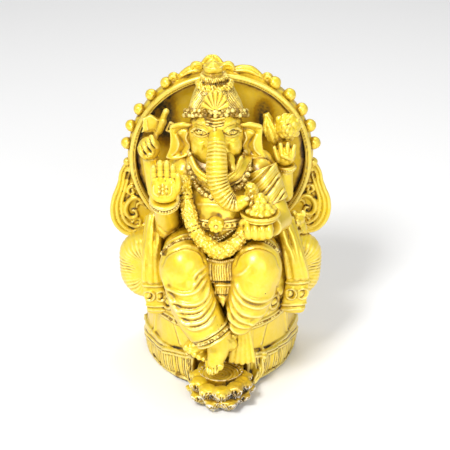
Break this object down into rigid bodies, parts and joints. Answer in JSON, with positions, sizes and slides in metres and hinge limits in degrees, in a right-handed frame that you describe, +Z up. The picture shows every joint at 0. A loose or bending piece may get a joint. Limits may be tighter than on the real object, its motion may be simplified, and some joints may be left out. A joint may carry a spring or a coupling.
{
  "type": "seated elephant-headed idol",
  "caption": "Seated four-armed elephant-headed idol on a draped throne, with a round halo plate behind and a lotus footrest in front.",
  "frame": {"origin": "on the ground, under the middle of the overall box", "axes": "+X to the viewer's right, +Y to the back, +Z up; the idol faces -Y"},
  "size_m": [0.1622, 0.126, 0.228],
  "materials": {
    "gold_paint": "bright gold paint over cast resin, with dark brown patina left in the recesses and worn pale high spots",
    "felt": "short green felt"
  },
  "bodies": {
    "root": {"anklet": "gold_paint", "axe": "gold_paint", "axe_arm": "gold_paint", "axe_hand": "gold_paint", "base_felt": "felt", "bead_necklace": "gold_paint", "belly_band": "gold_paint", "belly_rosette": "gold_paint", "blessing_arm": "gold_paint", "blessing_cuff": "gold_paint", "blessing_hand": "gold_paint", "bolster_left": "gold_paint", "bolster_right": "gold_paint", "bowl_arm": "gold_paint", "bowl_hand": "gold_paint", "cloth_fan": "gold_paint", "collar": "gold_paint", "crest_boss": "gold_paint", "crest_leaf_left": "gold_paint", "crest_leaf_right": "gold_paint", "crown_band": "gold_paint", "crown_dome": "gold_paint", "crown_knob": "gold_paint", "crown_shell": "gold_paint", "crown_tiers": "gold_paint", "drape_left": "gold_paint", "drape_right": "gold_paint", "ear_left": "gold_paint", "ear_right": "gold_paint", "flower": "gold_paint", "flower_arm": "gold_paint", "flower_cuff": "gold_paint", "flower_hand": "gold_paint", "foot_left": "gold_paint", "foot_right": "gold_paint", "garland": "gold_paint", "halo_beads": "gold_paint", "halo_plate": "gold_paint", "halo_rim": "gold_paint", "head": "gold_paint", "leg_left": "gold_paint", "leg_right": "gold_paint", "lotus_core": "gold_paint", "lotus_petals_lower": "gold_paint", "lotus_petals_upper": "gold_paint", "mouse": "gold_paint", "scarf_left": "gold_paint", "scarf_right": "gold_paint", "seat_block": "gold_paint", "shoulder_sash": "gold_paint", "sweet_bowl": "gold_paint", "sweets": "gold_paint", "torso": "gold_paint", "trunk": "gold_paint", "tusk_left": "gold_paint", "waist_belt": "gold_paint", "waist_sash": "gold_paint", "wing_scroll_left": "gold_paint", "wing_scroll_right": "gold_paint"}
  },
  "joints": []
}
